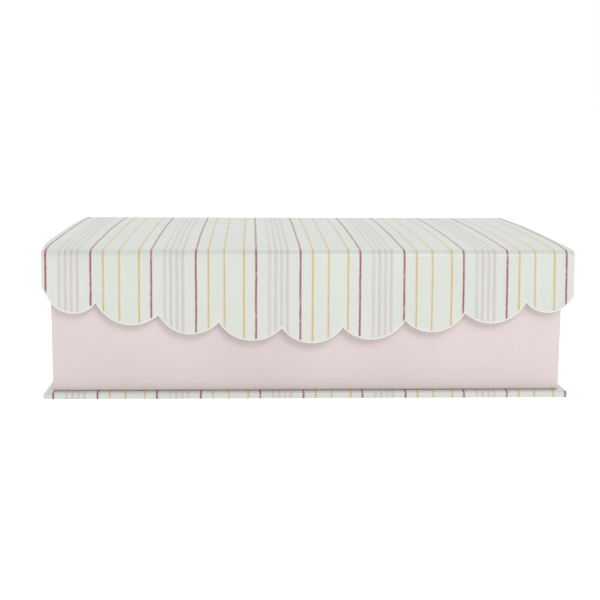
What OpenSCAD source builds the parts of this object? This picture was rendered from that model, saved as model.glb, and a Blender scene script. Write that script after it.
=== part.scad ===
// Book-style keepsake hat box: a paper-covered tray glued into a hinged case.
// The case is base, spine, lid and a scalloped front flap, all board covered in
// one sheet of striped paper that also makes the folds between them.
// X runs across the box, Y from the front to the spine, Z up.
// The origin is the middle of the underside of the base.

/* [Case] */
// Width of the case from side to side
case_w = 300; // [270:1:330]
// Depth of the closed case from the front fold to the back of the spine
case_d = 204; // [160:1:240]
// Height of the closed case
case_h = 85; // [75:1:130]
// Thickness of the board in the base, the spine and the lid
case_board = 3; // [2:0.25:3.5]
// Thickness of one layer of paper with its glue
paper = 0.3; // [0.2:0.05:0.4]
// Outer radius of the soft paper folds
fold_r = 4; // [3.8:0.1:5]
// Margin of striped paper turned in over the panel edges
turn_in = 15; // [10:1:22]
// Margin left around the lining inside the lid
lining_margin = 3; // [1:0.5:6]

/* [Front flap] */
// Thickness of the board in the flap
flap_board_t = 2; // [1.5:0.25:2.5]
// Drop of the middle of the flap below the top of the lid
flap_drop = 53.4; // [50:0.2:58]
// How much less the flap drops at its two ends
flap_rise = 20; // [12:0.5:21]
// Depth of each lobe below the line through its two notches
scallop_depth = 8.6; // [6:0.2:9]
// Distance of the scallops' middle from the middle of the case
scallop_shift = 1.3; // [0:0.1:1.5]
// Width left for each of the two end lobes
end_lobe_w = 29; // [28.5:0.5:32]
// Drop of the flap's straight left side
left_side_drop = 21.4; // [20:0.2:24]
// Drop of the flap's straight right side
right_side_drop = 26.6; // [24:0.2:27]
// Angle by which the hanging flap leans out from vertical
flap_flare = 3.4; // [1:0.2:4]

/* [Tray] */
// Lip of the base left bare on each side of the tray
side_lip = 5; // [3:0.5:8]
// Distance of the tray's middle from the middle of the case
tray_shift = -0.7; // [-1:0.1:1]
// Lip of the base left bare in front of the tray
front_lip = 4.5; // [4:0.5:8]
// Thickness of the board in the tray
tray_board = 2; // [1.5:0.25:3]
// Free height between the rim of the tray and the lining of the lid
lid_gap = 0.3; // [0.3:0.1:1]
// Length of each leg of the tape around a corner of the tray
tape_leg = 18; // [10:1:25]

/* [Opening] */
// Angle of the lid from closed
lid_angle = 0; // [0:1:198]
// Angle of the flap from hanging
flap_angle = 0; // [0:0.2:86.6]

/* [Hidden] */
$fn = 96;

board_color = [0.62, 0.60, 0.56];
stripe_paper_color = [0.88, 0.91, 0.89];
tray_paper_color = [0.90, 0.84, 0.83];
lining_color = [0.94, 0.92, 0.88];
tape_color = [0.76, 0.64, 0.47];

// Small overlap that keeps cuts from ending on a face
cut = 0.5;

// Planes of the closed case
front_y = -case_d / 2;
back_y = case_d / 2;
panel_t = case_board + 2 * paper;
lid_t = panel_t + paper;

// Panels end where the folds begin
base_length = case_d - fold_r;
lid_length = case_d - 2 * fold_r;
spine_length = case_h - 2 * fold_r;

// A fold of radius r turns its panels almost as a pin this far inside the
// corner would, because its paper keeps the length of a quarter circle
fold_axis_inset = fold_r * (1 - PI / 4);
fold_axis_z = case_h - fold_axis_inset;
lid_axis_y = back_y - fold_axis_inset;
flap_axis_y = front_y + fold_axis_inset;
// Free paper between the end of a fold's own strip and the panel that turns
fold_gap = 0.45;
fold_gap_angle = fold_gap / fold_r * 180 / PI;

// Flap, measured down from the sharp corner that the front fold rounds off
flap_t = flap_board_t + 3 * paper;
full_lobes = 7;
lobe_pitch = (case_w - 2 * end_lobe_w) / full_lobes;
// Radius of the end lobes, and how far their middles lie beyond the last notches
end_lobe_r = 16;
end_lobe_reach = 12.3;
// Margins of turned-in paper and of bare paper round the lining
flap_turn_in = 7;
flap_lining_margin = 2.5;
// Height by which the chords between the notches clear the lobes' tips
chord_lift = 1;

// Tray
tray_w = case_w - 2 * side_lip;
tray_x0 = tray_shift - tray_w / 2;
tray_x1 = tray_shift + tray_w / 2;
tray_y0 = front_y + front_lip;
tray_y1 = back_y - panel_t;
tray_d = tray_y1 - tray_y0;
tray_z0 = panel_t;
tray_z1 = case_h - lid_t - lid_gap;
tray_h = tray_z1 - tray_z0;
tray_wall_t = tray_board + 2 * paper;
tray_floor_z = tray_z0 + paper + tray_board;
tape_t = paper / 2;

// Place of notch k along the flap, and its drop
function notch_x(k) = scallop_shift + (k - full_lobes / 2) * lobe_pitch;
function notch_drop(k) =
    flap_drop - scallop_depth - flap_rise * pow(abs(notch_x(k)) / (case_w / 2), 1.5);
function notch(k) = [notch_x(k), -notch_drop(k)];

// Radius of the arc that stands scallop_depth below the chord from a to b
function arc_r(a, b) = (pow(norm(b - a) / 2, 2) + pow(scallop_depth, 2)) / (2 * scallop_depth);
// Centre of that arc, above the chord
function arc_centre(a, b) =
    (a + b) / 2 + [a.y - b.y, b.x - a.x] / norm(b - a) * (arc_r(a, b) - scallop_depth);

// Point where a line from p touches the circle of radius r round c, on the side
// that turn gives, or the point of the circle nearest to a p inside it
function touch(p, c, r, turn) =
    let (v = p - c, angle = atan2(v.y, v.x) + turn * acos(min(1, r / norm(v))))
        c + r * [cos(angle), sin(angle)];

// Outline of the flap, smaller by inset all round. The straight chords between
// the notches lie inside the lobes, so that the arcs alone shape the edge, and
// a slanted line leads from each straight side to its end lobe
module flap_outline(inset) {
    half = case_w / 2 - inset;
    end_r = end_lobe_r - inset;
    end_centre_rise = sqrt(pow(end_lobe_r, 2) - pow(end_lobe_reach, 2));
    left_centre = notch(0) + [-end_lobe_reach, end_centre_rise];
    right_centre = notch(full_lobes) + [end_lobe_reach, end_centre_rise];
    left_side = [-half, inset - left_side_drop];
    right_side = [half, inset - right_side_drop];
    chords = [for (k = [0:full_lobes]) notch(k) + [0, 2 * inset + chord_lift]];
    intersection() {
        translate([-half, -flap_drop - fold_r])
            square([2 * half, flap_drop]);
        union() {
            polygon(concat(
                [[half, 0], [-half, 0], left_side, touch(left_side, left_centre, end_r, 1)],
                chords,
                [touch(right_side, right_centre, end_r, -1), right_side]
            ));
            for (k = [0:full_lobes - 1])
                translate(arc_centre(notch(k), notch(k + 1)))
                    circle(r = arc_r(notch(k), notch(k + 1)) - inset);
            translate(left_centre) circle(r = end_r);
            translate(right_centre) circle(r = end_r);
        }
    }
}

// Sheet of the flap between two depths below its outer face
module flap_sheet(from, to, inset) {
    translate([0, front_y + to, case_h])
        rotate([90, 0, 0])
            linear_extrude(to - from) flap_outline(inset);
}

// Turns its children with the lid
module on_lid() {
    translate([0, lid_axis_y, fold_axis_z])
        rotate([-lid_angle, 0, 0])
            translate([0, -lid_axis_y, -fold_axis_z]) children();
}

// Turns its children with the flap, which leans out by flap_flare at rest
module on_flap() {
    on_lid()
        translate([0, flap_axis_y, fold_axis_z])
            rotate([-flap_flare - flap_angle, 0, 0])
                translate([0, -flap_axis_y, -fold_axis_z]) children();
}

// A covered panel lies with its outer face down and its near end at y = 0.
// The near end is wrapped when near_wrap is the paper's thickness, and runs
// on into a fold when near_wrap is 0
module panel_core(length, near_wrap, far_wrap) {
    translate([-case_w / 2 + paper, near_wrap, paper])
        cube([case_w - 2 * paper, length - near_wrap + far_wrap, case_board]);
}

// Space between the turned-in margins of a panel
module panel_window(length, near_wrap, depth) {
    near = near_wrap > 0 ? turn_in : 0;
    translate([-case_w / 2 + turn_in, near, paper + case_board])
        cube([case_w - 2 * turn_in, length - near, depth]);
}

module panel_paper(length, near_wrap) {
    open_near = near_wrap > 0 ? 0 : cut;
    difference() {
        translate([-case_w / 2, 0, 0]) cube([case_w, length, panel_t]);
        panel_core(length, near_wrap, cut);
        translate([0, -open_near, 0]) {
            panel_core(length, near_wrap, 0);
            panel_window(length + open_near + cut, near_wrap, paper + cut);
        }
    }
}

// Places of the three panels
module at_base() {
    translate([0, front_y, 0]) children();
}

module at_lid() {
    on_lid()
        translate([0, front_y + fold_r, case_h])
            mirror([0, 0, 1]) children();
}

module at_spine() {
    translate([0, back_y, fold_r])
        rotate([90, 0, 0]) children();
}

// Strip of paper bent round a fold, from one angle to another, where 0 points
// down, 90 to the back, 180 up and 270 to the front
module fold_strip(y, z, from, to) {
    translate([0, y, z])
        rotate([0, 90, 0])
            rotate_extrude(start = from, angle = to - from)
                translate([fold_r - paper, -case_w / 2])
                    square([paper, case_w]);
}

// Block of the tray given by its distances in from the tray's outer faces
module tray_block(inset_x, inset_y, z0, z1) {
    translate([tray_x0 + inset_x, tray_y0 + inset_y, z0])
        cube([tray_w - 2 * inset_x, tray_d - 2 * inset_y, z1 - z0]);
}

module tray_long_wall(y) {
    translate([tray_x0 + paper, y, tray_floor_z])
        cube([tray_w - 2 * paper, tray_board, tray_z1 - paper - tray_floor_z]);
}

module tray_short_wall(x) {
    side_d = tray_d - 2 * paper - 2 * tray_board;
    translate([x, tray_y0 + paper + tray_board, tray_floor_z])
        cube([tray_board, side_d, tray_z1 - paper - tray_floor_z]);
}

module base_board() {
    color(board_color) at_base() panel_core(base_length, paper, 0);
}

module base_wrap() {
    color(stripe_paper_color) at_base() panel_paper(base_length, paper);
}

module base_liner() {
    color(lining_color) at_base() panel_window(base_length, paper, paper);
}

module base_crease() {
    color(stripe_paper_color) fold_strip(back_y - fold_r, fold_r, 0, 90);
}

module spine_board() {
    color(board_color) at_spine() panel_core(spine_length, 0, 0);
}

module spine_wrap() {
    color(stripe_paper_color) at_spine() panel_paper(spine_length, 0);
}

module spine_liner() {
    color(lining_color) at_spine() panel_window(spine_length, 0, paper);
}

// Outer paper of the hinge between spine and lid
module lid_crease() {
    color(stripe_paper_color)
        fold_strip(back_y - fold_r, case_h - fold_r, 90, 180 - fold_gap_angle);
}

module tray_floor_board() {
    color(board_color) tray_block(paper, paper, tray_z0 + paper, tray_floor_z);
}

module tray_front_board() {
    color(board_color) tray_long_wall(tray_y0 + paper);
}

module tray_back_board() {
    color(board_color) tray_long_wall(tray_y1 - paper - tray_board);
}

module tray_left_board() {
    color(board_color) tray_short_wall(tray_x0 + paper);
}

module tray_right_board() {
    color(board_color) tray_short_wall(tray_x1 - paper - tray_board);
}

// Four angle strips of tape that hold the tray's walls together
module tray_corner_tapes() {
    leg_x = tray_w / 2 - tape_t - tape_leg;
    leg_y = tray_d / 2 - tape_t - tape_leg;
    color(tape_color)
        difference() {
            tray_block(tape_t, tape_t, tray_floor_z, tray_z1 - paper);
            tray_block(paper, paper, tray_floor_z - cut, tray_z1);
            translate([tray_shift - leg_x, tray_y0 - cut, tray_floor_z - cut])
                cube([2 * leg_x, tray_d + 2 * cut, tray_h]);
            translate([-tray_w, (tray_y0 + tray_y1) / 2 - leg_y, tray_floor_z - cut])
                cube([2 * tray_w, 2 * leg_y, tray_h]);
        }
}

// Pink paper under the floor, up the outside, over the rim and down the inside
module tray_wrap() {
    color(tray_paper_color)
        difference() {
            tray_block(0, 0, tray_z0, tray_z1);
            tray_block(tray_wall_t, tray_wall_t, tray_floor_z, tray_z1 + cut);
            tray_floor_board();
            tray_front_board();
            tray_back_board();
            tray_left_board();
            tray_right_board();
            tray_corner_tapes();
        }
}

module tray_floor_liner() {
    color(tray_paper_color)
        tray_block(tray_wall_t, tray_wall_t, tray_floor_z, tray_floor_z + paper);
}

module lid_board() {
    color(board_color) at_lid() panel_core(lid_length, 0, 0);
}

module lid_wrap() {
    color(stripe_paper_color) at_lid() panel_paper(lid_length, 0);
}

// Lining sheet, sunk between the turned-in margins
module lid_liner() {
    color(lining_color)
        at_lid() {
            panel_window(lid_length, 0, 2 * paper);
            translate([-case_w / 2 + lining_margin, 0, panel_t])
                cube([case_w - 2 * lining_margin, lid_length, paper]);
        }
}

// Outer paper of the hinge between lid and flap
module flap_crease() {
    color(stripe_paper_color)
        on_lid()
            fold_strip(front_y + fold_r, case_h - fold_r, 180, 270 - fold_gap_angle);
}

module flap_board() {
    color(board_color)
        on_flap() flap_sheet(paper, paper + flap_board_t, paper);
}

module flap_wrap() {
    color(stripe_paper_color)
        on_flap()
            difference() {
                flap_sheet(0, flap_t - paper, 0);
                flap_sheet(paper, paper + flap_board_t, paper);
                flap_sheet(paper + flap_board_t - cut, flap_t, flap_turn_in);
            }
}

// Lining sheet on the back of the flap, sunk between the turned-in margins
module flap_liner() {
    color(lining_color)
        on_flap() {
            flap_sheet(paper + flap_board_t, flap_t - paper, flap_turn_in);
            flap_sheet(flap_t - paper, flap_t, flap_lining_margin);
        }
}

base_board();
base_wrap();
base_liner();
base_crease();
spine_board();
spine_wrap();
spine_liner();
lid_crease();
tray_floor_board();
tray_front_board();
tray_back_board();
tray_left_board();
tray_right_board();
tray_corner_tapes();
tray_wrap();
tray_floor_liner();
lid_board();
lid_wrap();
lid_liner();
flap_crease();
flap_board();
flap_wrap();
flap_liner();
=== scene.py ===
import math

import bmesh
import bpy
from mathutils import Matrix, Vector, noise


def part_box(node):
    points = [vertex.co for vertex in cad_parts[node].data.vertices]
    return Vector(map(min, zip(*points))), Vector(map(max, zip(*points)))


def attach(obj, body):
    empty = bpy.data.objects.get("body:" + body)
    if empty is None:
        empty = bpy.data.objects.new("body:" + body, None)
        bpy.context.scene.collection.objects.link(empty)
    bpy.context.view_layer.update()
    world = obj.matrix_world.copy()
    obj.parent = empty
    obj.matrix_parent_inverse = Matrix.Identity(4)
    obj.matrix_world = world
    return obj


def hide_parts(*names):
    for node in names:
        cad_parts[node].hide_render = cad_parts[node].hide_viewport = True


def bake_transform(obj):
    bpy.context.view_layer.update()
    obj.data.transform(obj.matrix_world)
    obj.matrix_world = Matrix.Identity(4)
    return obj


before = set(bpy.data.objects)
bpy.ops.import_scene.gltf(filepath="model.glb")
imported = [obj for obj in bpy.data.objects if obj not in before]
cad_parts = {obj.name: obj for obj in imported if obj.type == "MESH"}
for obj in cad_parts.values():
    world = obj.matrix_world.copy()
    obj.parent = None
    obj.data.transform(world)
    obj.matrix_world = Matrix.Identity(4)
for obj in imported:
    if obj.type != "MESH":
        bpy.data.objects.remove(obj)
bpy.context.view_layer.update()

MM = 0.001

# Sizes that part.scad also names, in metres and radians
PAPER = 0.3 * MM
FOLD_R = 4 * MM
TURN_IN = 15 * MM
LINING_MARGIN = 3 * MM
FLARE = math.radians(3.4)

# Thickness of the flap's board, and of the whole flap with its paper and lining
FLAP_BOARD = 2 * MM
FLAP_T = FLAP_BOARD + 3 * PAPER

# The flap's outline, with drops below the sharp corner that the front fold rounds off
FLAP_DROP = 53.4 * MM
FLAP_RISE = 20 * MM
SCALLOP = 8.6 * MM
SCALLOP_SHIFT = 1.3 * MM
END_LOBE_W = 29 * MM
END_LOBE_R = 16 * MM
END_LOBE_REACH = 12.3 * MM
LEFT_DROP = 21.4 * MM
RIGHT_DROP = 26.6 * MM
LOBES = 7

# On the back of the flap, how far the striped paper reaches in and how much of it shows
FLAP_TURN_IN = 3.5 * MM
FLAP_MARGIN = 2.5 * MM

# How far a lining sinks between the turned-in margins
LINING_SINK = 0.22 * MM

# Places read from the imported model
base_lo, base_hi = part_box("base_wrap")
spine_lo, spine_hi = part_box("spine_wrap")
lid_lo, lid_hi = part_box("lid_wrap")
tray_lo, tray_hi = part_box("tray_wrap")
HALF = base_hi.x
FRONT = base_lo.y
BACK = spine_hi.y
TOP = lid_hi.z
PANEL_T = base_hi.z - base_lo.z
PITCH = (2 * HALF - 2 * END_LOBE_W) / LOBES
AXIS_INSET = FOLD_R * (1 - math.pi / 4)
FLAP_AXIS = Vector((0, FRONT + AXIS_INSET, TOP - AXIS_INSET))

# How the real lid departs from its flat CAD solid: bowed up in the middle,
# curled up at its sides, and glued a little to the left
LID_BOW = 1.3 * MM
LID_CURL = 0.8 * MM
LID_SHIFT = -1.4 * MM

# Shift of the base along x from its CAD solid, which is to the left
BASE_SHIFT = -0.8 * MM

# Drift of the printed stripes between the top of the spine and the front of the base
PRINT_DRIFT = 2.3 * MM


# ---------------------------------------------------------------- mesh helpers

def grid_faces(rows, columns, start=0, closed=False):
    """Quads between the points of a grid stored row by row."""
    faces = []
    last = columns if closed else columns - 1
    for r in range(rows - 1):
        for c in range(last):
            a = start + r * columns + c
            b = start + r * columns + (c + 1) % columns
            faces.append((a, b, b + columns, a + columns))
    return faces


def largest_face_points(mesh, direction):
    """Whether the biggest face of a mesh looks along a direction."""
    face = max(mesh.polygons, key=lambda p: p.area)
    return face.normal.dot(Vector(direction)) > 0


def piece(name, verts, faces, body, nodes, looks, marks=None):
    """A new object that rides on a body and stands for some CAD nodes."""
    mesh = bpy.data.meshes.new(name)
    mesh.from_pydata([tuple(v) for v in verts], [], faces)
    mesh.update()
    if looks and not largest_face_points(mesh, looks):
        mesh.flip_normals()
    for key, values in (marks or {}).items():
        attribute = mesh.attributes.new(key, "FLOAT", "POINT")
        attribute.data.foreach_set("value", values)
    obj = bpy.data.objects.new(name, mesh)
    bpy.context.scene.collection.objects.link(obj)
    if body:
        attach(obj, body)
    if nodes:
        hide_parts(*nodes)
    return obj


def outward(obj):
    """Turns the faces of a closed mesh outwards."""
    bm = bmesh.new()
    bm.from_mesh(obj.data)
    bmesh.ops.recalc_face_normals(bm, faces=bm.faces)
    bm.to_mesh(obj.data)
    bm.free()


def thicken(obj, depth):
    """Gives a sheet its thickness, on the side away from its normals."""
    solid = obj.modifiers.new("thickness", "SOLIDIFY")
    solid.thickness = depth
    solid.offset = -1
    solid.use_even_offset = True
    if len(obj.data.materials) > 1:
        solid.material_offset = 1
    depsgraph = bpy.context.evaluated_depsgraph_get()
    mesh = bpy.data.meshes.new_from_object(
        obj.evaluated_get(depsgraph), preserve_all_data_layers=True, depsgraph=depsgraph)
    obj.modifiers.clear()
    old = obj.data
    obj.data = mesh
    bpy.data.meshes.remove(old)
    mesh.name = obj.name


def smooth(obj, angle=40):
    """Smooth shading that keeps edges sharper than an angle."""
    obj.data.shade_smooth()
    obj.data.set_sharp_from_angle(angle=math.radians(angle))


def steps(start, end, count):
    """Evenly spaced values, with both ends."""
    return [start + (end - start) * i / count for i in range(count + 1)]


def wobble(x, y, z, size, height):
    """Smooth unevenness of that height, with bumps of about that size."""
    return height * noise.noise(Vector((x, y, z)) / size)


def wrap_half(half, thick, margin, r_out, r_in, columns=24, turns=6):
    """One half of the section of paper wrapped round a board.

    Points are (x, depth below the outer face, place along the sheet), from the
    middle of the outer face round the edge to the end of the margin.
    """
    flat = half - r_out
    points = [(x, 0.0, x) for x in steps(0, flat, columns)]
    for a in steps(0, math.pi / 2, turns)[1:]:
        points.append((flat + r_out * math.sin(a), r_out * (1 - math.cos(a)), flat + r_out * a))
    u = flat + r_out * math.pi / 2 + thick - r_out - r_in
    for a in steps(0, math.pi / 2, turns):
        x = half - r_in * (1 - math.cos(a))
        points.append((x, thick - r_in + r_in * math.sin(a), u + r_in * a))
    u += r_in * math.pi / 2
    for d in steps(r_in, margin, 6)[1:]:
        points.append((half - d, thick, u + d - r_in))
    return points


def wrap_section(*args, **kwargs):
    """The whole section of paper wrapped round a board, from margin to margin."""
    right = wrap_half(*args, **kwargs)
    left = [(-x, h, -u) for x, h, u in right[1:]]
    return left[::-1] + right


def swept(section, stations, place):
    """Points, faces and sheet places of a section carried along stations."""
    verts = [place(x, h, t) for t in stations for x, h, u in section]
    sheet = [u for t in stations for x, h, u in section]
    return verts, grid_faces(len(stations), len(section)), sheet


def ease(t):
    """A smooth step from 0 to 1."""
    t = min(1.0, max(0.0, t))
    return t * t * (3 - 2 * t)


# ------------------------------------------------------------- base of the case

def drift(down):
    """Drift of the stripes at a distance along the sheet from the spine's top."""
    return PRINT_DRIFT * down / (TOP + 2 * BACK)


# Steps along each side of the base, and radius of its front corners
SIDE_STEPS = 10
BASE_CORNER = 1.2 * MM


def u_ring(inset, z, front=40, turn=5):
    """A line round the left side, the front and the right side of the base."""
    x = HALF - inset
    y = FRONT + inset
    r = max(BASE_CORNER - inset, 0.05 * MM)
    left = [(-x, t) for t in steps(base_hi.y, y + r, SIDE_STEPS)]
    for a in steps(0, math.pi / 2, turn)[1:]:
        left.append((-x + r * (1 - math.cos(a)), y + r * (1 - math.sin(a))))
    middle = [(t, y) for t in steps(-x + r, x - r, front)[1:-1]]
    right = [(-px, py) for px, py in left[::-1]]
    return [Vector((px + BASE_SHIFT, py, z)) for px, py in left + middle + right]


def base_rings(margin, r_out, r_in):
    """Rings round the base and their places along the sheet."""
    section = wrap_half(HALF, PANEL_T, margin, r_out, r_in)
    section = [s for s in section if s[0] > HALF - r_out - 1e-9 or s[1] > 0]
    rings = []
    sheets = []
    for x, h, u in section:
        ring = u_ring(HALF - x, h)
        rings.append(ring)
        sheet = []
        for i, p in enumerate(ring):
            on_side = i <= SIDE_STEPS + 1 or i >= len(ring) - SIDE_STEPS - 2
            place = math.copysign(u, p.x) if on_side else p.x
            sheet.append(place - drift(TOP + BACK - p.y))
        sheets.append(sheet)
    return rings, sheets


def make_base_cover():
    """Striped paper under the base's board, up its edges and some way over its top."""
    rings, sheets = base_rings(TURN_IN, 0.4 * MM, 1.5 * MM)
    count = len(rings[0])
    verts = [p for ring in rings for p in ring]
    sheet = [u for row in sheets for u in row]
    faces = grid_faces(len(rings), count)
    faces.append(tuple(range(count))[::-1])
    for i in range(count):
        sheet[i] = verts[i].x - drift(TOP + BACK - verts[i].y)
    obj = piece("base_cover", verts, faces, "case_and_tray", ["base_wrap"],
                (0, 0, -1), {"sheet_x": sheet})
    obj.data.materials.append(striped)
    thicken(obj, PAPER)
    smooth(obj)
    return obj


def make_base_board():
    """The board in the base, worn round at the edges that the paper wraps."""
    top_r = 1.2 * MM
    low_r = 0.35 * MM
    t = PANEL_T - 2 * PAPER
    levels = [(low_r * (1 - math.sin(a)), low_r * (1 - math.cos(a)))
              for a in steps(0, math.pi / 2, 3)]
    levels += [(top_r * (1 - math.cos(a)), t - top_r * (1 - math.sin(a)))
               for a in steps(0, math.pi / 2, 5)]
    verts = []
    for inset, h in levels:
        verts += u_ring(PAPER + inset, PAPER + h)
    count = len(verts) // len(levels)
    faces = grid_faces(len(levels), count)
    faces.append(tuple(range(count)))
    faces.append(tuple(range(len(verts) - count, len(verts))))
    left = [i * count for i in range(len(levels))]
    right = [i * count + count - 1 for i in range(len(levels))]
    faces.append(tuple(left + right[::-1]))
    obj = piece("base_board_worn", verts, faces, "case_and_tray", ["base_board"], None)
    obj.data.materials.append(greyboard)
    outward(obj)
    smooth(obj)
    return obj


# ------------------------------------------------------------------------ folds

# How deep the paper is tucked in at the ends of a fold
FOLD_TUCK = 2.9 * MM


def fold_section():
    """Section of a soft fold, whose ends are tucked in."""
    edge = HALF - 0.15 * MM
    r = 0.6 * MM
    right = [(x, 0.0, x) for x in steps(0, edge - r, 30)]
    for a in steps(0, math.pi / 2, 5)[1:]:
        right.append((edge - r + r * math.sin(a), r * (1 - math.cos(a)), edge - r + r * a))
    u = edge - r + r * math.pi / 2
    right += [(edge, h, u + h - r) for h in steps(r, FOLD_TUCK, 6)[1:]]
    left = [(-x, h, -u) for x, h, u in right[1:]]
    return left[::-1] + right


def make_fold(name, node, centre, radius, turn, shifts, drifts, looks, bodies, blend=None):
    """Striped paper outside and lining inside, bent round a fold.

    The angles of turn run from the top (0) towards the back (90) or the front
    (-90). Shifts are where its two ends lie across the box, and drifts are how
    far the stripes have drifted there.
    """
    first, last = turn

    def along(a, ends):
        t = (math.degrees(a) - first) / (last - first)
        return ends[0] + (ends[1] - ends[0]) * ease(t)

    def place(x, h, a):
        r = radius - h + wobble(x, a * FOLD_R * 3, centre[1], 23 * MM, 0.05 * MM)
        across = x + along(a, shifts)
        return Vector((across, centre[0] + r * math.sin(a), centre[1] + r * math.cos(a)))

    stations = [math.radians(a) for a in steps(first, last, 14)]
    section = fold_section()
    verts, faces, sheet = swept(section, stations, place)
    moved = [along(a, shifts) - along(a, drifts) for a in stations for _ in section]
    sheet = [u + m for u, m in zip(sheet, moved)]
    ride = None if len(bodies) > 1 else bodies[0]
    obj = piece(name, verts, faces, ride, [node], looks, {"sheet_x": sheet})
    obj.data.materials.append(striped)
    obj.data.materials.append(lining)
    thicken(obj, 2 * PAPER)
    for face in obj.data.polygons:
        if abs(face.center.x) > HALF - LINING_MARGIN:
            face.material_index = 0
    smooth(obj)
    if blend:
        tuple(blend[0])
        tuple(blend[1])
        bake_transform(obj)
    return obj


def make_folds():
    """The three folds: base to spine, spine to lid, and lid to flap."""
    low = (BACK - FOLD_R, FOLD_R)
    high = (BACK - FOLD_R, TOP - FOLD_R)
    make_fold("base_fold", "base_crease", low, FOLD_R, (90, 180), (0, BASE_SHIFT),
              (drift(TOP), drift(TOP)), (0, 1, -1), ["case_and_tray"])
    make_fold("lid_fold", "lid_crease", high, FOLD_R, (0, 90), (LID_SHIFT, 0), (0, 0), (0, 1, 1),
              ["case_and_tray", "lid"], ((0, BACK, high[1]), (0, high[0], TOP)))
    turn = math.pi / 2 - FLARE
    start = Vector((0, lid_lo.y, TOP))
    end = flap_point(0, FOLD_R, 0)
    radius = (start.y - end.y) / math.sin(turn)
    front = (lid_lo.y, TOP - radius)
    make_fold("flap_fold", "flap_crease", front, radius, (0, -math.degrees(turn)), (0, 0), (0, 0),
              (0, -1, 1), ["lid", "flap"], (tuple(start), tuple(end)))


# ------------------------------------------------------------------------ spine

def make_spine_cover():
    """Striped paper round the spine's board, slightly uneven on its face."""
    def place(x, h, z):
        out = wobble(x, 0, z, 60 * MM, 0.12 * MM) * (1 if h < 1 * MM else 0)
        return Vector((x, BACK - h + out, z))

    section = wrap_section(HALF, PANEL_T, TURN_IN, 0.8 * MM, 0.5 * MM)
    stations = steps(spine_lo.z, spine_hi.z, 16)
    verts, faces, sheet = swept(section, stations, place)
    sheet = [u - drift(TOP - v.z) for u, v in zip(sheet, verts)]
    obj = piece("spine_cover", verts, faces, "case_and_tray", ["spine_wrap"],
                (0, 1, 0), {"sheet_x": sheet})
    obj.data.materials.append(striped)
    thicken(obj, PAPER)
    smooth(obj)
    return obj


def make_spine_lining():
    """Lining over the top end of the spine's board, on its way into the fold."""
    r = 0.3 * MM
    y = spine_lo.y + 0.05 * MM
    z = spine_hi.z + PAPER
    path = [(y, z - r - 0.15 * MM), (y, z - r)]
    path += [(y + r * (1 - math.cos(a)), z - r + r * math.sin(a)) for a in steps(0, math.pi / 2, 4)[1:]]
    path += [(t, z) for t in steps(y + r, BACK - 2 * PAPER, 3)[1:]]
    columns = steps(-HALF + LINING_MARGIN, HALF - LINING_MARGIN, 24)
    verts = [Vector((x, py, pz)) for py, pz in path for x in columns]
    obj = piece("spine_lining", verts, grid_faces(len(path), len(columns)), "case_and_tray",
                ["spine_liner"], (0, 0, 1))
    obj.data.materials.append(lining)
    thicken(obj, PAPER)
    smooth(obj)
    return obj


# -------------------------------------------------------------------------- lid

def lid_rise(x, y):
    """Rise of the bowed and curled lid above its flat CAD solid."""
    t = (y - lid_lo.y) / (lid_hi.y - lid_lo.y)
    bow = LID_BOW * 4 * t * (1 - t)
    ends = ease((y - lid_lo.y) / (14 * MM)) * ease((lid_hi.y - y) / (8 * MM))
    curl = LID_CURL * ease((abs(x) - 105 * MM) / (55 * MM))
    return bow + ends * (curl + wobble(x, y, 7, 70 * MM, 0.12 * MM))


def lid_shift(y):
    """How far the lid lies to the right at a place from front to back."""
    return LID_SHIFT * ease((y - lid_lo.y) / (20 * MM))


def lid_point(x, h, y):
    """A point of the lid, h below its outer face."""
    return Vector((x + lid_shift(y), y, TOP - h + lid_rise(x, y)))


def make_lid_cover():
    """Striped paper on the bowed and curled lid."""
    section = wrap_section(HALF, PANEL_T, TURN_IN, 0.8 * MM, 0.6 * MM, columns=30)
    verts, faces, sheet = swept(section, steps(lid_lo.y, lid_hi.y, 40), lid_point)
    sheet = [u + lid_shift(v.y) for u, v in zip(sheet, verts)]
    obj = piece("lid_cover", verts, faces, "lid", ["lid_wrap"], (0, 0, 1),
                {"sheet_x": sheet})
    obj.data.materials.append(striped)
    thicken(obj, PAPER)
    smooth(obj)
    return obj


def make_lid_board():
    """The lid's board, with the lid's bow and curl."""
    half = HALF - PAPER
    r = 0.5 * MM
    low = PAPER
    high = PANEL_T - PAPER
    corner = []
    for a in steps(0, math.pi / 2, 4):
        corner.append((half - r * (1 - math.cos(a)), high - r * (1 - math.sin(a))))
    right = [(x, low) for x in steps(0, half - r, 16)[1:]]
    right += [(half - r * (1 - math.sin(a)), low + r * (1 - math.cos(a)))
              for a in steps(0, math.pi / 2, 4)[1:]]
    right += corner
    right += [(x, high) for x in steps(half - r, 0, 16)[1:-1]]
    loop = [(0, low)] + right + [(0, high)] + [(-x, h) for x, h in right[::-1]]
    stations = steps(lid_lo.y, lid_hi.y, 40)
    verts = [lid_point(x, h, y) for y in stations for x, h in loop]
    count = len(loop)
    faces = grid_faces(len(stations), count, closed=True)
    faces.append(tuple(range(count)))
    faces.append(tuple(range(len(verts) - count, len(verts))))
    obj = piece("lid_board_bowed", verts, faces, "lid", ["lid_board"], None)
    obj.data.materials.append(greyboard)
    outward(obj)
    smooth(obj)
    return obj


def lining_columns():
    """Places across the lid's lining, with how far it sinks there."""
    edge = HALF - LINING_MARGIN
    step = HALF - TURN_IN
    right = [(x, 1.0) for x in steps(0, step - 0.6 * MM, 20)]
    right += [(step - 0.2 * MM, 0.75), (step + 0.1 * MM, 0.3), (step + 0.5 * MM, 0.0)]
    right += [(x, 0.0) for x in steps(step + 3 * MM, edge, 4)]
    left = [(-x, sink) for x, sink in right[1:]]
    return left[::-1] + right


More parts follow.
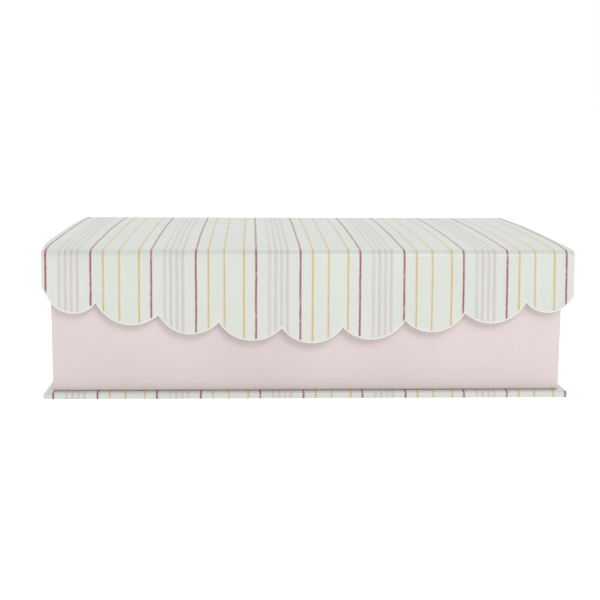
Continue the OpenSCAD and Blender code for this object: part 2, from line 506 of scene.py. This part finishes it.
def make_lid_lining():
    """Lining over the inside of the lid and both ends of its board."""
    depth = PANEL_T + PAPER
    r = 0.5 * MM
    front = lid_lo.y - PAPER
    back = lid_hi.y + PAPER
    near = [(front, h) for h in steps(2 * PAPER, depth - r, 3)]
    near += [(front + r * (1 - math.cos(a)), depth - r * (1 - math.sin(a)))
             for a in steps(0, math.pi / 2, 5)[1:]]
    far = [(lid_lo.y + lid_hi.y - y, h) for y, h in near[::-1]]
    path = near + [(y, depth) for y in steps(front + r, back - r, 30)[1:-1]] + far
    columns = lining_columns()
    verts = []
    for y, h in path:
        inner = min(max(y, lid_lo.y), lid_hi.y)
        for x, sink in columns:
            p = lid_point(x, h - LINING_SINK * sink * (1 if h == depth else 0), inner)
            verts.append(Vector((p.x, y, p.z)))
    obj = piece("lid_lining", verts, grid_faces(len(path), len(columns)), "lid", ["lid_liner"],
                (0, 0, -1))
    obj.data.materials.append(lining)
    thicken(obj, PAPER)
    smooth(obj)
    return obj


# ------------------------------------------------------------------------- flap

# How far each notch was cut from its even place, to the right and up
HAND_CUT = ((-0.2, 0.6), (-0.1, -0.4), (-0.9, 0.1), (0.0, 0.0),
            (0.0, 0.0), (0.8, 0.7), (0.0, 0.2), (0.5, 0.4))


def notch(k):
    """Place of notch k as (x, -drop)."""
    x = SCALLOP_SHIFT + (k - LOBES / 2) * PITCH
    drop = FLAP_DROP - SCALLOP - FLAP_RISE * (abs(x) / HALF) ** 1.5
    return Vector((x, -drop)) + Vector(HAND_CUT[k]) * MM


def lobe_circles():
    """Centre and radius of each lobe, from the left end to the right end."""
    lift = Vector((0, math.sqrt(END_LOBE_R ** 2 - END_LOBE_REACH ** 2)))
    circles = [(notch(0) + lift - Vector((END_LOBE_REACH, 0)), END_LOBE_R)]
    for k in range(LOBES):
        a = notch(k)
        b = notch(k + 1)
        chord = b - a
        r = ((chord.length / 2) ** 2 + SCALLOP ** 2) / (2 * SCALLOP)
        up = Vector((-chord.y, chord.x)).normalized()
        circles.append(((a + b) / 2 + up * (r - SCALLOP), r))
    circles.append((notch(LOBES) + lift + Vector((END_LOBE_REACH, 0)), END_LOBE_R))
    return circles


def lower_crossing(c0, r0, c1, r1):
    """The lower of the two points where two circles cross."""
    between = c1 - c0
    d = between.length
    along = (d * d + r0 * r0 - r1 * r1) / (2 * d)
    across = math.sqrt(max(0, r0 * r0 - along * along))
    n = between / d
    return c0 + n * along + Vector((n.y, -n.x)) * across


def touch(p, centre, r, turn):
    """Where a line from p touches a circle, on the side that turn gives."""
    v = p - centre
    angle = math.atan2(v.y, v.x) + turn * math.acos(min(1, r / v.length))
    return centre + r * Vector((math.cos(angle), math.sin(angle)))


def arc_between(centre, r, a, b, count):
    """Points of the lower arc from a to b, without a."""
    start = math.atan2(a.y - centre.y, a.x - centre.x)
    end = math.atan2(b.y - centre.y, b.x - centre.x)
    start = start - 2 * math.pi if start > 0 else start
    end = end - 2 * math.pi if end > math.pi / 2 else end
    return [centre + r * Vector((math.cos(t), math.sin(t))) for t in steps(start, end, count)[1:]]


def side_end(x, drop, centre, r):
    """The lower end of a straight side, kept outside the end lobe's circle."""
    across = x - centre.x
    if abs(across) < r:
        drop = max(drop, math.sqrt(r * r - across * across) - centre.y + 0.3 * MM)
    return Vector((x, -drop))


def flap_edge(inset):
    """The scalloped edge from the left side to the right side, as (x, -drop)."""
    circles = [(c, r - inset) for c, r in lobe_circles()]
    left = side_end(inset - HALF, LEFT_DROP - inset, *circles[0])
    right = side_end(HALF - inset, RIGHT_DROP - inset, *circles[-1])
    first = touch(left, *circles[0], 1)
    last = touch(right, *circles[-1], -1)
    corners = [first]
    for (c0, r0), (c1, r1) in zip(circles, circles[1:]):
        corners.append(lower_crossing(c0, r0, c1, r1))
    corners.append(last)
    points = [left + (first - left) * t for t in steps(0, 1, 4)]
    for i, (centre, r) in enumerate(circles):
        count = 14 if i in (0, len(circles) - 1) else 24
        points += arc_between(centre, r, corners[i], corners[i + 1], count)
    points += [last + (right - last) * t for t in steps(0, 1, 4)[1:]]
    return points


def flap_point(x, drop, h):
    """A point of the leaning flap, h behind its outer face."""
    rest = Vector((x, FRONT + h, TOP - drop))
    return Matrix.Rotation(-FLARE, 3, "X") @ (rest - FLAP_AXIS) + FLAP_AXIS


def uneven_flap_point(x, drop, h):
    """A point of the leaning flap, with the slight unevenness of its board."""
    return flap_point(x, drop, h - wobble(x, drop, 3, 55 * MM, 0.08 * MM))


# Rows of faces between the top end of the flap and its edge
ROWS = 10

# Inset of the flap's flat faces from its edge, which keeps them inside the rounding
FACE_INSET = 1.2 * MM


def flap_face(inset, h, top):
    """A grid of points from the top end of the flap down to its edge."""
    edge = flap_edge(inset)
    return [[(p.x, top + (-p.y - top) * t, h) for p in edge] for t in steps(0, 1, ROWS)]


def flap_ring(inset, h, top):
    """A line down the left side, along the edge and up the right side."""
    face = flap_face(inset, h, top)
    left = [row[0] for row in face[:-1]]
    right = [row[-1] for row in face[-2::-1]]
    return left + face[-1] + right


def rim_of_face(rows, columns):
    """Numbers of the face's points in the order that flap_ring gives them."""
    left = [r * columns for r in range(rows - 1)]
    bottom = [(rows - 1) * columns + c for c in range(columns)]
    right = [r * columns + columns - 1 for r in range(rows - 2, -1, -1)]
    return left + bottom + right


def flap_shell(face, rings):
    """Points and faces of a face with rings of points added round its rim."""
    rows = len(face)
    columns = len(face[0])
    points = [p for row in face for p in row]
    faces = grid_faces(rows, columns)
    inner = rim_of_face(rows, columns)
    for ring in rings:
        outer = list(range(len(points), len(points) + len(ring)))
        points += ring
        for i in range(len(ring) - 1):
            faces.append((inner[i], inner[i + 1], outer[i + 1], outer[i]))
        inner = outer
    return points, faces


def make_flap_cover():
    """Striped paper on the scalloped flap, over its edge and in behind it."""
    t = FLAP_T - PAPER
    r_out = 0.8 * MM
    r_in = 0.5 * MM
    # Each level is (inset, depth, rim mask). The rim mask fades the print out round the rounded edge and
    # lightens the paper there, partly worn print and partly a painted highlight.
    levels = [(r_out, 0.0, 0.75)]
    levels += [(r_out * (1 - math.sin(a)), r_out * (1 - math.cos(a)), 1.0)
               for a in steps(0, math.pi / 2, 5)[1:]]
    levels += [(r_in * (1 - math.cos(a)), t - r_in * (1 - math.sin(a)), 0.6)
               for a in steps(0, math.pi / 2, 4)]
    levels += [(d, t, 0.0) for d in (1.2 * MM, 2.4 * MM, FLAP_TURN_IN)]
    face = flap_face(FACE_INSET, 0.0, FOLD_R)
    rings = [flap_ring(inset, h, FOLD_R) for inset, h, bare in levels]
    points, faces = flap_shell(face, rings)
    verts = [uneven_flap_point(x, drop, h) for x, drop, h in points]
    bare = [0.0] * (len(face) * len(face[0]))
    for ring, level in zip(rings, levels):
        bare += [level[2]] * len(ring)
    obj = piece("flap_cover", verts, faces, "flap", ["flap_wrap"], (0, -1, 0),
                {"sheet_x": [p[0] for p in points], "bare": bare})
    obj.data.materials.append(striped)
    thicken(obj, PAPER)
    smooth(obj, 50)
    return obj


def make_flap_board():
    """The flap's board, cut to the same edge as its cover."""
    back = FLAP_T - 2 * PAPER
    r_out = 0.5 * MM
    r_in = 0.2 * MM
    levels = [(PAPER + r_out * (1 - math.sin(a)), PAPER + r_out * (1 - math.cos(a)))
              for a in steps(0, math.pi / 2, 5)]
    levels += [(PAPER + r_in * (1 - math.cos(a)), back - r_in * (1 - math.sin(a)))
               for a in steps(0, math.pi / 2, 3)]
    rings = [flap_ring(inset, h, FOLD_R) for inset, h in levels]
    face = flap_face(FACE_INSET, PAPER, FOLD_R)
    rows = len(face)
    columns = len(face[0])
    points, faces = flap_shell(face, rings)
    start = len(points)
    points += [(x, drop, back) for row in face for x, drop, h in row]
    faces += grid_faces(rows, columns, start)
    size = len(rings[0])
    firsts = [rows * columns + i * size for i in range(len(rings))]
    rim = [start + i for i in rim_of_face(rows, columns)]
    for i in range(size - 1):
        faces.append((firsts[-1] + i, firsts[-1] + i + 1, rim[i + 1], rim[i]))
    top = list(range(columns)) + [first + size - 1 for first in firsts]
    top += list(range(start + columns - 1, start - 1, -1)) + firsts[::-1]
    faces.append(tuple(top))
    verts = [uneven_flap_point(x, drop, h) for x, drop, h in points]
    obj = piece("flap_board_cut", verts, faces, "flap", ["flap_board"], None)
    obj.data.materials.append(greyboard)
    outward(obj)
    smooth(obj, 50)
    return obj


def make_flap_lining():
    """Lining on the back of the flap, over the top end of its board."""
    r = 0.5 * MM
    top = FOLD_R - PAPER
    sunk = FLAP_T - LINING_SINK
    face = flap_face(FLAP_TURN_IN, sunk, top + r)
    edge = flap_edge(FLAP_TURN_IN)
    over = [[(p.x, top, h) for p in edge] for h in steps(2 * PAPER, sunk - r, 3)]
    over += [[(p.x, top + r * (1 - math.cos(a)), sunk - r * (1 - math.sin(a))) for p in edge]
             for a in steps(0, math.pi / 2, 4)[1:-1]]
    rings = []
    for inset, h in ((3.25 * MM, sunk), (3 * MM, FLAP_T), (FLAP_MARGIN, FLAP_T)):
        rings.append(flap_ring(inset, h, top + r))
    points, faces = flap_shell(face, rings)
    columns = len(face[0])
    start = len(points)
    for row in over:
        points += row
    faces += grid_faces(len(over), columns, start)
    last = start + (len(over) - 1) * columns
    for c in range(columns - 1):
        faces.append((last + c, last + c + 1, c + 1, c))
    verts = [flap_point(x, drop, h) for x, drop, h in points]
    obj = piece("flap_lining", verts, faces, "flap", ["flap_liner"], (0, 1, 0))
    obj.data.materials.append(lining)
    thicken(obj, PAPER)
    smooth(obj, 50)
    return obj


# ------------------------------------------------------------------------- tray

# Thickness of the tray's boards, as in part.scad
TRAY_BOARD = 2 * MM

# Radius of the worn lower edge of the tray
FOOT_R = 1.3 * MM


def tray_ring(inset, z, r, along=24, across=18, turn=5):
    """A closed line round the tray, with corners of radius r."""
    middle = (tray_lo.x + tray_hi.x) / 2
    x = tray_hi.x - middle - inset
    y0 = tray_lo.y + inset
    y1 = tray_hi.y - inset
    points = []
    for cx, cy, start in ((x - r, y0 + r, -90), (x - r, y1 - r, 0),
                          (-x + r, y1 - r, 90), (-x + r, y0 + r, 180)):
        for a in steps(start, start + 90, turn):
            a = math.radians(a)
            points.append((cx + r * math.cos(a), cy + r * math.sin(a)))
        end = points[-1]
        if start in (-90, 90):
            far = (x, y1 - r) if start == -90 else (-x, y0 + r)
            count = across
        else:
            far = (-x + r, y1) if start == 0 else (x - r, y0)
            count = along
        for t in steps(0, 1, count)[1:-1]:
            points.append((end[0] + (far[0] - end[0]) * t, end[1] + (far[1] - end[1]) * t))
    return [Vector((middle + px, py, z)) for px, py in points]


def make_tray_cover():
    """Pink paper round the tray: under its floor, up, over the rim and down inside."""
    wall = TRAY_BOARD + 2 * PAPER
    r = 0.9 * MM
    low = tray_lo.z
    top = tray_hi.z
    floor = low + PAPER + TRAY_BOARD
    path = [(8 * MM, low), (FOOT_R, low)]
    path += [(FOOT_R * (1 - math.sin(a)), low + FOOT_R * (1 - math.cos(a)))
             for a in steps(0, math.pi / 2, 5)[1:]]
    path += [(0.0, z) for z in steps(low + FOOT_R, top - r, 16)[1:]]
    path += [(r * (1 - math.cos(a)), top - r * (1 - math.sin(a))) for a in steps(0, math.pi / 2, 6)[1:]]
    path += [(wall - r * (1 - math.sin(a)), top - r * (1 - math.cos(a)))
             for a in steps(0, math.pi / 2, 6)]
    path += [(wall, z) for z in steps(top - r, floor, 14)[1:]]
    verts = []
    for inset, z in path:
        corner = max(0.5 * MM - inset, 0.25 * MM) if inset < wall / 2 else 0.3 * MM
        verts += tray_ring(inset, z, corner)
    count = len(verts) // len(path)
    faces = grid_faces(len(path), count, closed=True)
    obj = piece("tray_cover", verts, faces, "case_and_tray", ["tray_wrap"], (0, -1, 0))
    obj.data.materials.append(pink)
    if not front_faces_out(obj.data):
        obj.data.flip_normals()
    thicken(obj, PAPER * 0.98)
    smooth(obj)
    return obj


def make_tray_floor_board():
    """The tray's floor board, whose lower edges are worn round."""
    r = FOOT_R - PAPER
    low = tray_lo.z + PAPER
    levels = [(r * (1 - math.sin(a)), low + r * (1 - math.cos(a))) for a in steps(0, math.pi / 2, 5)]
    levels.append((0.0, low + TRAY_BOARD))
    verts = []
    for inset, z in levels:
        verts += tray_ring(PAPER + inset, z, 0.25 * MM)
    count = len(verts) // len(levels)
    faces = grid_faces(len(levels), count, closed=True)
    faces.append(tuple(range(count)))
    faces.append(tuple(range(len(verts) - count, len(verts))))
    obj = piece("tray_floor_board_worn", verts, faces, "case_and_tray", ["tray_floor_board"],
                None)
    obj.data.materials.append(greyboard)
    outward(obj)
    smooth(obj)
    return obj


def front_faces_out(mesh):
    """Whether the tray's front faces look forwards."""
    face = min(mesh.polygons, key=lambda p: p.center.y)
    return face.normal.y < 0


# -------------------------------------------------------------------- materials

def new_material(name):
    """A new node material, its tree and its shader."""
    material = bpy.data.materials.new(name)
    material.use_nodes = True
    tree = material.node_tree
    return material, tree, tree.nodes["Principled BSDF"]


def math_node(tree, kind, a, b=None):
    """A maths node on sockets or numbers, giving its output socket."""
    node = tree.nodes.new("ShaderNodeMath")
    node.operation = kind
    for i, value in enumerate((a, b)):
        if value is None:
            continue
        if isinstance(value, (int, float)):
            node.inputs[i].default_value = value
        else:
            tree.links.new(value, node.inputs[i])
    return node.outputs[0]


def noise_node(tree, scale, detail=2.0, stretch=None, roughness=0.5):
    """Noise over the object's own coordinates, per metre."""
    where = tree.nodes.new("ShaderNodeTexCoord").outputs["Object"]
    if stretch:
        mapping = tree.nodes.new("ShaderNodeMapping")
        mapping.inputs["Scale"].default_value = stretch
        tree.links.new(where, mapping.inputs["Vector"])
        where = mapping.outputs["Vector"]
    node = tree.nodes.new("ShaderNodeTexNoise")
    node.inputs["Scale"].default_value = scale
    node.inputs["Detail"].default_value = detail
    node.inputs["Roughness"].default_value = roughness
    tree.links.new(where, node.inputs["Vector"])
    return node.outputs["Fac"]


def ramp_node(tree, fac, stops):
    """A colour ramp from (place, colour) pairs."""
    node = tree.nodes.new("ShaderNodeValToRGB")
    ramp = node.color_ramp
    while len(ramp.elements) < len(stops):
        ramp.elements.new(0.5)
    for element, (place, value) in zip(ramp.elements, stops):
        element.position = place
        element.color = value if isinstance(value, tuple) else (value, value, value, 1)
    tree.links.new(fac, node.inputs["Fac"])
    return node.outputs["Color"]


def mix_node(tree, fac, a, b):
    """A colour mix of sockets or colours."""
    node = tree.nodes.new("ShaderNodeMix")
    node.data_type = "RGBA"
    for name, value in (("Factor", fac), ("A", a), ("B", b)):
        socket = [s for s in node.inputs if s.name == name and s.enabled][0]
        if isinstance(value, (int, float, tuple)):
            socket.default_value = value
        else:
            tree.links.new(value, socket)
    return [s for s in node.outputs if s.enabled][0]


def rgb(r, g, b):
    """A colour given in the usual 0 to 255 numbers."""
    def linear(c):
        c /= 255
        return c / 12.92 if c <= 0.04045 else ((c + 0.055) / 1.055) ** 2.4
    return (linear(r), linear(g), linear(b), 1)


def paper_relief(tree, shader, fine, fibre, strength):
    """Bump of paper fibres over faint cockling."""
    grain = noise_node(tree, fine, 3, roughness=0.6)
    strands = noise_node(tree, fibre, 2, (1, 0.35, 1))
    height = math_node(tree, "ADD", math_node(tree, "MULTIPLY", grain, 0.6),
                       math_node(tree, "MULTIPLY", strands, 0.4))
    bump = tree.nodes.new("ShaderNodeBump")
    bump.inputs["Strength"].default_value = strength
    bump.inputs["Distance"].default_value = 0.03 * MM
    tree.links.new(height, bump.inputs["Height"])
    tree.links.new(bump.outputs["Normal"], shader.inputs["Normal"])


def varied_roughness(tree, shader, low, high, scale):
    """Roughness that varies softly, mostly between two values."""
    patches = noise_node(tree, scale, 1)
    part = math_node(tree, "MULTIPLY", math_node(tree, "SUBTRACT", patches, 0.5), 2 * (high - low))
    value = math_node(tree, "ADD", part, (low + high) / 2)
    tree.links.new(value, shader.inputs["Roughness"])


# Width of one repeat of the printed stripes, and where one repeat's first crimson line lies
STRIPE_PERIOD = 58.47 * MM
FIRST_CRIMSON = -147.3 * MM

# Part of a repeat that the ramps start before the first crimson line, so that it isn't cut
LEAD = 0.05

# Whole repeats that keep the place along the sheet positive
SPARE_REPEATS = 8


def line_stops(lines, width, soft):
    """Ramp stops for printed lines at places in one repeat of the pattern."""
    w = width / STRIPE_PERIOD / 2
    s = soft / STRIPE_PERIOD / 2
    stops = []
    for place, ink in lines:
        p = place + LEAD
        stops += [(p - w - s, 0.0), (p - w + s, ink), (p + w - s, ink), (p + w + s, 0.0)]
    return stops


def stripe_phase(tree):
    """Place in the repeat of the stripes, with the wobble of a drawn line."""
    sheet = tree.nodes.new("ShaderNodeAttribute")
    sheet.attribute_name = "sheet_x"
    slow = noise_node(tree, 28, 2)
    quick = noise_node(tree, 900, 2)
    sway = math_node(tree, "MULTIPLY", math_node(tree, "SUBTRACT", slow, 0.5), 0.7 * MM)
    rough = math_node(tree, "MULTIPLY", math_node(tree, "SUBTRACT", quick, 0.5), 0.45 * MM)
    x = math_node(tree, "ADD", sheet.outputs["Fac"], math_node(tree, "ADD", sway, rough))
    x = math_node(tree, "SUBTRACT", x, FIRST_CRIMSON - STRIPE_PERIOD * (SPARE_REPEATS + LEAD))
    return math_node(tree, "FRACT", math_node(tree, "DIVIDE", x, STRIPE_PERIOD))


def striped_material():
    """Pale paper printed with thin crimson, yellow and pink lines."""
    material, tree, shader = new_material("striped_paper_print")
    phase = stripe_phase(tree)
    ink_gaps = noise_node(tree, 260, 4, (1, 0.4, 1), 0.7)
    ink = ramp_node(tree, ink_gaps, [(0.25, 0.55), (0.5, 1.0)])
    cloud = noise_node(tree, 22, 3)
    ground = ramp_node(tree, cloud, [(0.3, rgb(210, 215, 208)), (0.7, rgb(215, 219, 212))])
    speck = noise_node(tree, 1500, 2)
    ground = mix_node(tree, ramp_node(tree, speck, [(0.3, 0.15), (0.6, 0.0)]), ground, rgb(198, 203, 194))
    pinks = ramp_node(tree, phase, line_stops(
        ((0.128, 0.8), (0.186, 1.0), (0.243, 0.9), (0.299, 1.0)), 1.7 * MM, 0.7 * MM))
    yellows = ramp_node(tree, phase, line_stops(
        ((0.543, 1.0), (0.696, 0.9), (0.884, 1.0)), 1.05 * MM, 0.4 * MM))
    crimsons = ramp_node(tree, phase, line_stops(((0.0, 1.0), (0.424, 1.0)), 1.1 * MM, 0.3 * MM))
    bare = tree.nodes.new("ShaderNodeAttribute")
    bare.attribute_name = "bare"
    printed = math_node(tree, "MULTIPLY", ink, math_node(tree, "SUBTRACT", 1.0, bare.outputs["Fac"]))
    colour = ground
    for mask, tint, depth in ((pinks, rgb(200, 185, 183), 0.7), (yellows, rgb(206, 176, 100), 0.9),
                              (crimsons, rgb(156, 56, 88), 0.92)):
        fac = math_node(tree, "MULTIPLY", math_node(tree, "MULTIPLY", mask, printed), depth)
        colour = mix_node(tree, fac, colour, tint)
    # Painted highlight with worn print on the flap's rounded rim: the rim mask lifts the colour halfway
    # towards pale cream.
    rim_wear_and_highlight = math_node(tree, "MULTIPLY", bare.outputs["Fac"], 0.5)
    colour = mix_node(tree, rim_wear_and_highlight, colour, rgb(230, 229, 221))
    tree.links.new(colour, shader.inputs["Base Color"])
    # A range of 0.26 to 0.36 gave dark marks on the lid from behind, for a reason not found
    varied_roughness(tree, shader, 0.31, 0.37, 60)
    paper_relief(tree, shader, 1800, 500, 0.12)
    return material


def pink_material():
    """Pale pink uncoated paper with faint fibres."""
    material, tree, shader = new_material("pink_paper_plain")
    cloud = noise_node(tree, 16, 3)
    colour = ramp_node(tree, cloud, [(0.3, rgb(216, 202, 201)), (0.7, rgb(222, 210, 209))])
    fibres = noise_node(tree, 900, 3, (1, 1, 0.5), 0.65)
    colour = mix_node(tree, ramp_node(tree, fibres, [(0.35, 0.12), (0.55, 0.0)]), colour,
                      rgb(203, 187, 186))
    tree.links.new(colour, shader.inputs["Base Color"])
    varied_roughness(tree, shader, 0.5, 0.65, 110)
    paper_relief(tree, shader, 1600, 420, 0.25)
    return material


def lining_material():
    """Cream lining paper."""
    material, tree, shader = new_material("lining_paper_cream")
    cloud = noise_node(tree, 14, 3)
    colour = ramp_node(tree, cloud, [(0.3, rgb(232, 226, 214)), (0.7, rgb(239, 234, 224))])
    fibres = noise_node(tree, 600, 3, (1, 0.35, 1), 0.65)
    colour = mix_node(tree, ramp_node(tree, fibres, [(0.35, 0.3), (0.55, 0.0)]), colour,
                      rgb(222, 212, 196))
    tree.links.new(colour, shader.inputs["Base Color"])
    varied_roughness(tree, shader, 0.65, 0.8, 110)
    paper_relief(tree, shader, 1500, 380, 0.4)
    return material


def greyboard_material():
    """Grey recycled board with dark and light flecks."""
    material, tree, shader = new_material("greyboard_flecked")
    cloud = noise_node(tree, 60, 4)
    colour = ramp_node(tree, cloud, [(0.3, rgb(150, 143, 132)), (0.7, rgb(172, 165, 153))])
    dark = noise_node(tree, 900, 3, (1, 0.5, 1), 0.7)
    colour = mix_node(tree, ramp_node(tree, dark, [(0.33, 0.7), (0.42, 0.0)]), colour, rgb(98, 92, 84))
    light = noise_node(tree, 650, 3, (0.5, 1, 1), 0.7)
    colour = mix_node(tree, ramp_node(tree, light, [(0.6, 0.0), (0.7, 0.6)]), colour, rgb(198, 192, 180))
    tree.links.new(colour, shader.inputs["Base Color"])
    varied_roughness(tree, shader, 0.8, 0.95, 200)
    paper_relief(tree, shader, 1200, 500, 0.6)
    return material


def tape_material():
    """Brown kraft tape."""
    material, tree, shader = new_material("kraft_tape_brown")
    cloud = noise_node(tree, 40, 3)
    colour = ramp_node(tree, cloud, [(0.3, rgb(186, 154, 112)), (0.7, rgb(202, 172, 130))])
    fibres = noise_node(tree, 800, 3, (0.3, 0.3, 1), 0.7)
    colour = mix_node(tree, ramp_node(tree, fibres, [(0.35, 0.5), (0.5, 0.0)]), colour, rgb(150, 118, 78))
    tree.links.new(colour, shader.inputs["Base Color"])
    varied_roughness(tree, shader, 0.6, 0.8, 200)
    paper_relief(tree, shader, 1400, 420, 0.5)
    return material


def give_cad_materials():
    """Puts the procedural materials on the CAD nodes that stay."""
    boards = ["spine_board", "tray_front_board", "tray_back_board", "tray_left_board",
              "tray_right_board"]
    kept = {name: greyboard for name in boards}
    kept["base_liner"] = lining
    kept["tray_floor_liner"] = pink
    kept["tray_corner_tapes"] = tape
    for name, material in kept.items():
        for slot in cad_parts[name].material_slots:
            slot.link = "OBJECT"
            slot.material = material


# ------------------------------------------------------------------------ stage

def make_floor():
    """A plain pale floor, a hair below the object so that no faces share a plane."""
    size = 20
    level = -0.0002
    verts = [(x, y, level) for y in (-size, size) for x in (-size, size)]
    mesh = bpy.data.meshes.new("floor")
    mesh.from_pydata(verts, [], [(0, 1, 3, 2)])
    floor = bpy.data.objects.new("floor", mesh)
    bpy.context.scene.collection.objects.link(floor)
    material, tree, shader = new_material("floor_white")
    cloud = noise_node(tree, 3, 2)
    colour = ramp_node(tree, cloud, [(0.3, rgb(250, 250, 250)), (0.7, rgb(252, 252, 252))])
    tree.links.new(colour, shader.inputs["Base Color"])
    shader.inputs["Roughness"].default_value = 0.9
    shader.inputs["Specular IOR Level"].default_value = 0.0
    shader.inputs["Emission Color"].default_value = (1, 1, 1, 1)
    shader.inputs["Emission Strength"].default_value = 0.45
    floor.data.materials.append(material)


def add_area(name, place, target, size, power):
    """A square area light at a place, aimed at a target."""
    light = bpy.data.lights.new(name, "AREA")
    light.energy = power
    light.size = size
    obj = bpy.data.objects.new(name, light)
    obj.location = place
    obj.rotation_euler = (Vector(target) - Vector(place)).to_track_quat("-Z", "Y").to_euler()
    bpy.context.scene.collection.objects.link(obj)


def add_world():
    """A white studio that is bright behind the object and dimmer in front."""
    world = bpy.data.worlds.new("studio")
    world.use_nodes = True
    tree = world.node_tree
    back = tree.nodes["Background"]
    where = tree.nodes.new("ShaderNodeTexCoord").outputs["Generated"]
    parts = tree.nodes.new("ShaderNodeSeparateXYZ")
    tree.links.new(where, parts.inputs["Vector"])
    spread = tree.nodes.new("ShaderNodeMapRange")
    spread.interpolation_type = "SMOOTHSTEP"
    spread.inputs["From Min"].default_value = -0.9
    spread.inputs["From Max"].default_value = 0.15
    spread.inputs["To Min"].default_value = 0.12
    spread.inputs["To Max"].default_value = 1.0
    tree.links.new(parts.outputs["Y"], spread.inputs["Value"])
    tree.links.new(spread.outputs["Result"], back.inputs["Strength"])
    back.inputs["Color"].default_value = (1, 1, 1, 1)
    bpy.context.scene.world = world


def add_lights():
    """The studio world and one soft light in front."""
    add_world()
    add_area("key", (0.4, -1.75, 1.2), (0, 0, 0.04), 0.9, 15.5)


def add_camera():
    """The camera at the photograph's viewing angle."""
    data = bpy.data.cameras.new("camera")
    data.sensor_width = 36
    data.lens = 70.6
    camera = bpy.data.objects.new("camera", data)
    place = Matrix.Translation((-0.0333, -0.7551, 0.1634))
    yaw = Matrix.Rotation(math.radians(-2.421), 4, "Z")
    pitch = Matrix.Rotation(math.radians(90 - 9.255), 4, "X")
    roll = Matrix.Rotation(math.radians(0.365), 4, "Z")
    camera.matrix_world = place @ yaw @ pitch @ roll
    bpy.context.scene.collection.objects.link(camera)
    bpy.context.scene.camera = camera


striped = striped_material()
pink = pink_material()
lining = lining_material()
greyboard = greyboard_material()
tape = tape_material()

add_camera()
make_base_cover()
make_base_board()
make_folds()
make_spine_cover()
make_spine_lining()
make_lid_cover()
make_lid_board()
make_lid_lining()
make_flap_cover()
make_flap_board()
make_flap_lining()
make_tray_cover()
make_tray_floor_board()
give_cad_materials()
make_floor()
add_lights()
bpy.context.scene.view_settings.view_transform = "Standard"
